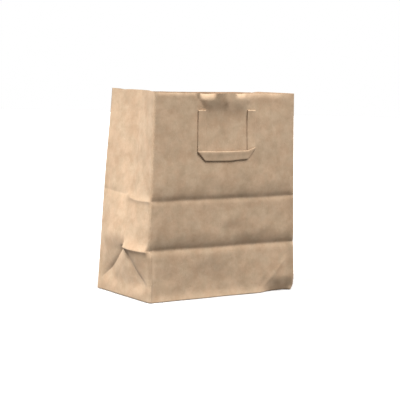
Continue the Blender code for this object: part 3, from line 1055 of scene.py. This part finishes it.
    # tooth: fine felt, fibres, and shallow cockling
    felt = noise(900.0, plain, 3.0, 0.6)
    cockle = noise(70.0, mapped((1.0, 1.0, 0.8), (0.2, 0.1, 0.0)), 4.0, 0.55, 0.3)
    height = maths("ADD", maths("MULTIPLY", felt, 0.10), maths("MULTIPLY", fibres, 0.10))
    tooth = node(tree, "ShaderNodeBump")
    tooth.inputs["Strength"].default_value = 0.35 * grain
    tooth.inputs["Distance"].default_value = 0.0004
    links.new(height, tooth.inputs["Height"])
    wavy = node(tree, "ShaderNodeBump")
    wavy.inputs["Strength"].default_value = 0.32 * grain
    wavy.inputs["Distance"].default_value = 0.0012
    links.new(cockle, wavy.inputs["Height"])
    links.new(tooth.outputs["Normal"], wavy.inputs["Normal"])
    links.new(wavy.outputs["Normal"], shader.inputs["Normal"])
    return material


def plain_material(name, colour, rough):
    material = bpy.data.materials.new(name)
    material.use_nodes = True
    shader = material.node_tree.nodes["Principled BSDF"]
    shader.inputs["Base Color"].default_value = colour
    shader.inputs["Roughness"].default_value = rough
    return material


# ------------------------------------------------------------------ camera, floor and light
def make_camera():
    focal, yaw, pitch, roll = 1262.0, math.radians(-34.42), math.radians(5.92), math.radians(1.31)
    tx, ty, tz = -8.5, -160.6, 2285.3
    back = np.array([math.sin(yaw) * math.cos(pitch), -math.cos(yaw) * math.cos(pitch), math.sin(pitch)])
    right = np.array([math.cos(yaw), math.sin(yaw), 0.0])
    up = np.cross(back, right)
    right, up = math.cos(roll) * right + math.sin(roll) * up, -math.sin(roll) * right + math.cos(roll) * up
    place = (-tx * right - ty * up + tz * back) / 1000.0
    data = bpy.data.cameras.new("camera")
    data.sensor_width = 36.0
    data.sensor_fit = "HORIZONTAL"
    data.lens = 36.0 * focal / 400.0
    data.clip_start, data.clip_end = 0.05, 60.0
    camera = bpy.data.objects.new("camera", data)
    bpy.context.scene.collection.objects.link(camera)
    turn = Matrix((
        (right[0], up[0], back[0], place[0]),
        (right[1], up[1], back[1], place[1]),
        (right[2], up[2], back[2], place[2]),
        (0.0, 0.0, 0.0, 1.0),
    ))
    camera.matrix_world = turn
    bpy.context.scene.camera = camera
    return camera


def sun_light(name, direction, angle, power, colour=(1.0, 1.0, 1.0)):
    data = bpy.data.lights.new(name, "SUN")
    data.angle = math.radians(angle)
    data.energy = power
    data.color = colour
    lamp = bpy.data.objects.new(name, data)
    d = Vector(direction).normalized()
    lamp.location = Vector((0.0, 0.0, 0.17)) + d * 2.5
    lamp.rotation_mode = "QUATERNION"
    lamp.rotation_quaternion = d.to_track_quat("Z", "Y")
    bpy.context.scene.collection.objects.link(lamp)
    return lamp


def make_stage():
    mesh = bpy.data.meshes.new("floor")
    steps, radius = 64, 9.0
    ring = [(radius * math.cos(2 * math.pi * k / steps), radius * math.sin(2 * math.pi * k / steps), 0.0) for k in range(steps)]
    mesh.from_pydata(ring, [], [tuple(range(steps))])
    floor = bpy.data.objects.new("floor", mesh)
    mesh.materials.append(plain_material("pale_floor", (0.60, 0.60, 0.60, 1.0), 0.9))
    bpy.context.scene.collection.objects.link(floor)
    floor.location.z = -0.0004
    floor.visible_diffuse = False
    floor.visible_glossy = False

    world = bpy.data.worlds.new("studio")
    world.use_nodes = True
    tree = world.node_tree
    soft = tree.nodes["Background"]
    soft.inputs["Color"].default_value = (1.0, 1.0, 1.0, 1.0)
    soft.inputs["Strength"].default_value = 0.22
    seen = tree.nodes.new("ShaderNodeBackground")
    seen.inputs["Color"].default_value = (1.0, 1.0, 1.0, 1.0)
    seen.inputs["Strength"].default_value = 1.0
    path = tree.nodes.new("ShaderNodeLightPath")
    both = tree.nodes.new("ShaderNodeMixShader")
    tree.links.new(path.outputs["Is Camera Ray"], both.inputs["Fac"])
    tree.links.new(soft.outputs["Background"], both.inputs[1])
    tree.links.new(seen.outputs["Background"], both.inputs[2])
    tree.links.new(both.outputs["Shader"], tree.nodes["World Output"].inputs["Surface"])
    bpy.context.scene.world = world

    sun_light("left_key", (-0.53, 0.10, 0.84), 24.0, 5.85)
    sun_light("front_key", (0.17, -0.43, 0.885), 36.0, 4.45)
    sun_light("back_fill", (0.62, 0.66, 0.42), 66.0, 1.3)


# ------------------------------------------------------------------ build
def main():
    scene = bpy.context.scene
    scene.view_settings.view_transform = "Standard"
    scene.view_settings.look = "None"
    make_camera()
    make_stage()

    paper = kraft("kraft_paper", (0.56, 0.405, 0.267, 1.0), (0.507, 0.360, 0.232, 1.0), (0.612, 0.450, 0.303, 1.0))
    tape = kraft("kraft_tape", (0.565, 0.408, 0.268, 1.0), (0.515, 0.368, 0.238, 1.0), (0.61, 0.447, 0.299, 1.0))

    bag = make_bag(paper)
    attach(bag, "root")
    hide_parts("bag_body")
    for name, face, node_name in (("tape_handle_front", 0, "handle_front"), ("tape_handle_back", 1, "handle_back")):
        handle = make_handle(name, face, tape)
        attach(handle, "root")
        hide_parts(node_name)


main()
